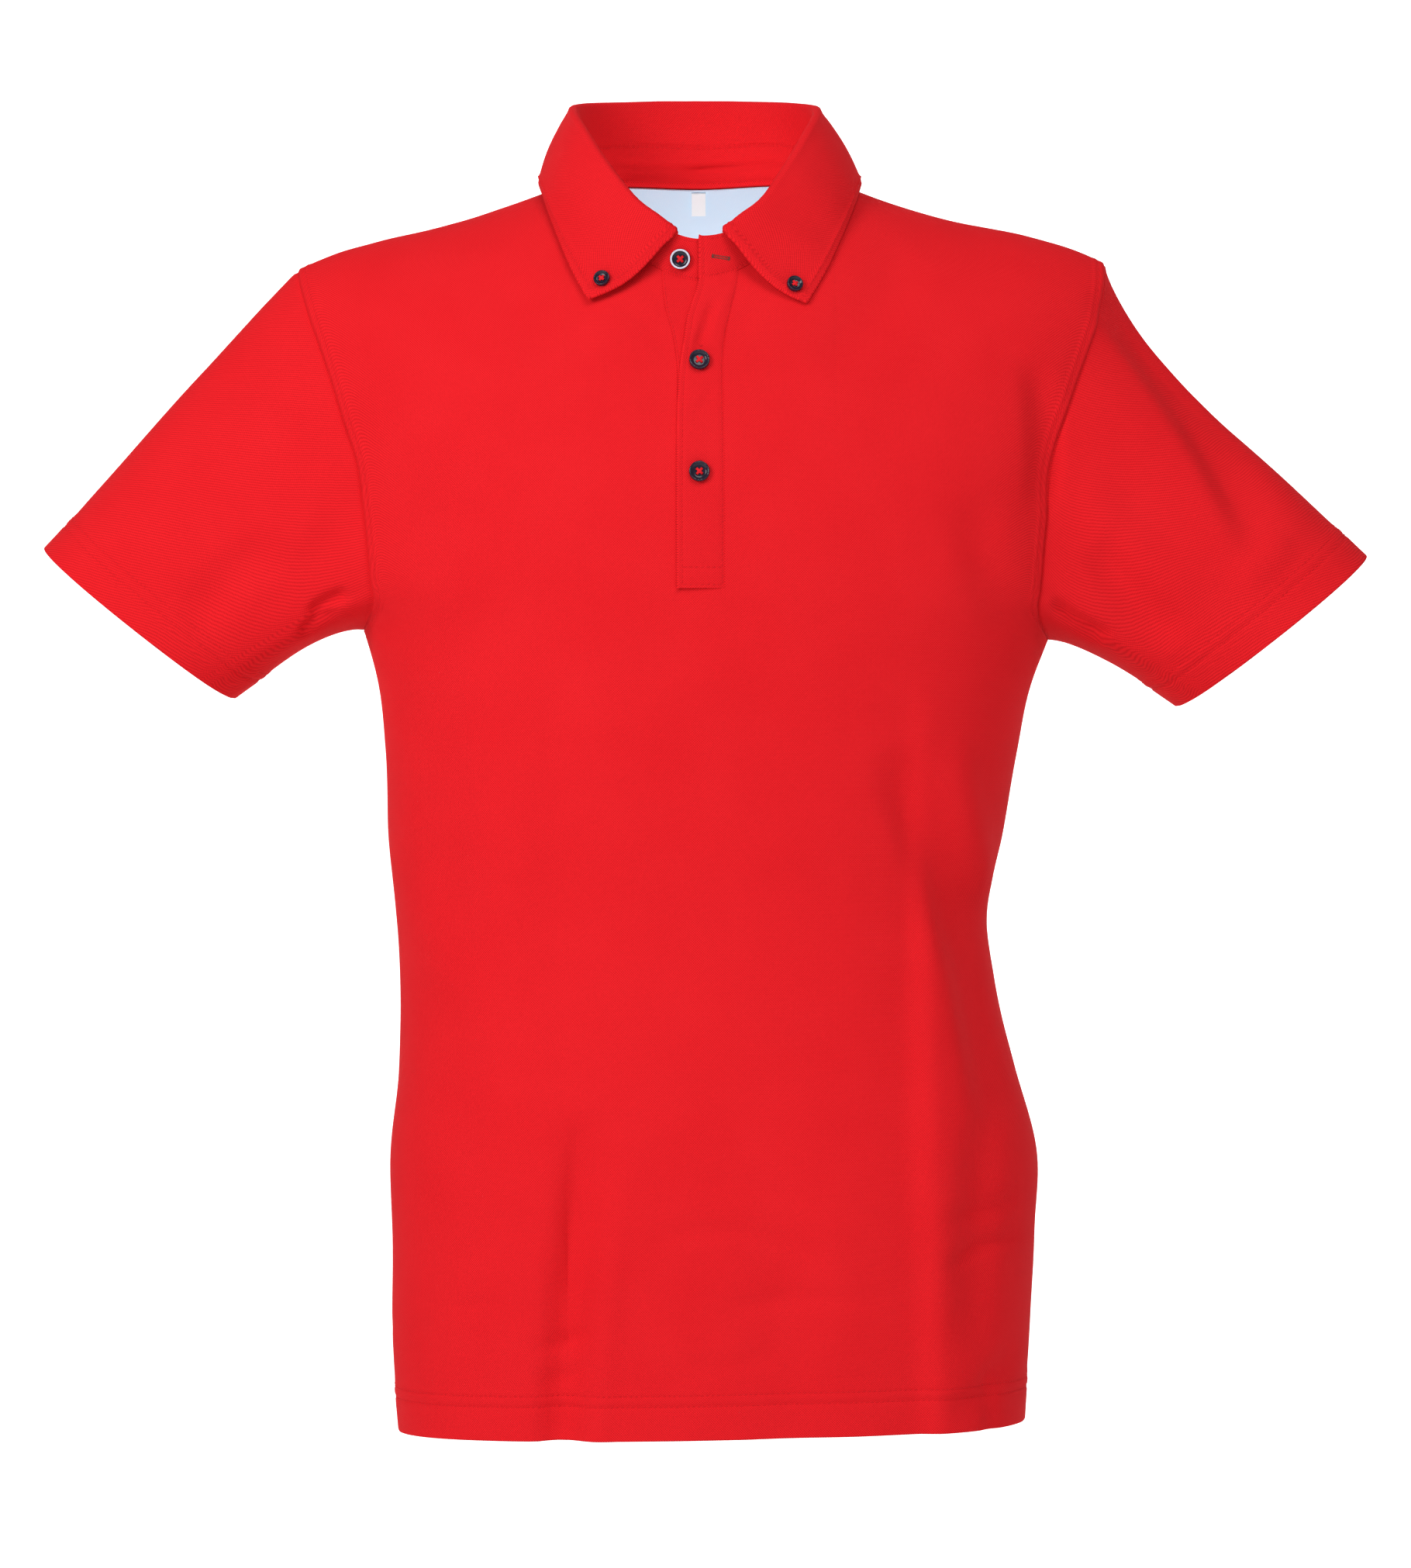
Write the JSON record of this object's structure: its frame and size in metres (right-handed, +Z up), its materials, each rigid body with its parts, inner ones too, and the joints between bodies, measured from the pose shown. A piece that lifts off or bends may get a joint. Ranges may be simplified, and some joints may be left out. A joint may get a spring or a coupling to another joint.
{
  "type": "polo shirt",
  "caption": "Short-sleeved polo shirt filled out as worn, with a button-down collar, a buttoned placket and a half-moon neck lining.",
  "frame": {"origin": "middle of the neck opening at the height of the shoulder line, where the wearer's neck and shoulders hold the shirt", "axes": "+Z up, the front faces -Y, +X to the viewer's right (the wearer's left)"},
  "size_m": [0.7484, 0.2381, 0.758],
  "materials": {
    "red_pique": "soft matt cotton pique knit",
    "red_thread": "sewing thread, slightly glossier than the cloth",
    "blue_chambray": "plain woven light blue cotton",
    "white_tape": "bare woven tape",
    "navy_resin": "polished dark navy resin"
  },
  "bodies": {
    "root": {"front_panel": "red_pique", "back_panel": "red_pique", "sleeve_left": "red_pique", "sleeve_right": "red_pique", "placket_over": "red_pique", "placket_under": "red_pique", "collar_leaf": "red_pique", "collar_stand": "red_pique", "neck_lining": "blue_chambray", "label": "white_tape", "button_stand": "navy_resin", "button_placket_1": "navy_resin", "button_placket_2": "navy_resin", "button_collar_left": "navy_resin", "button_collar_right": "navy_resin"}
  },
  "joints": []
}
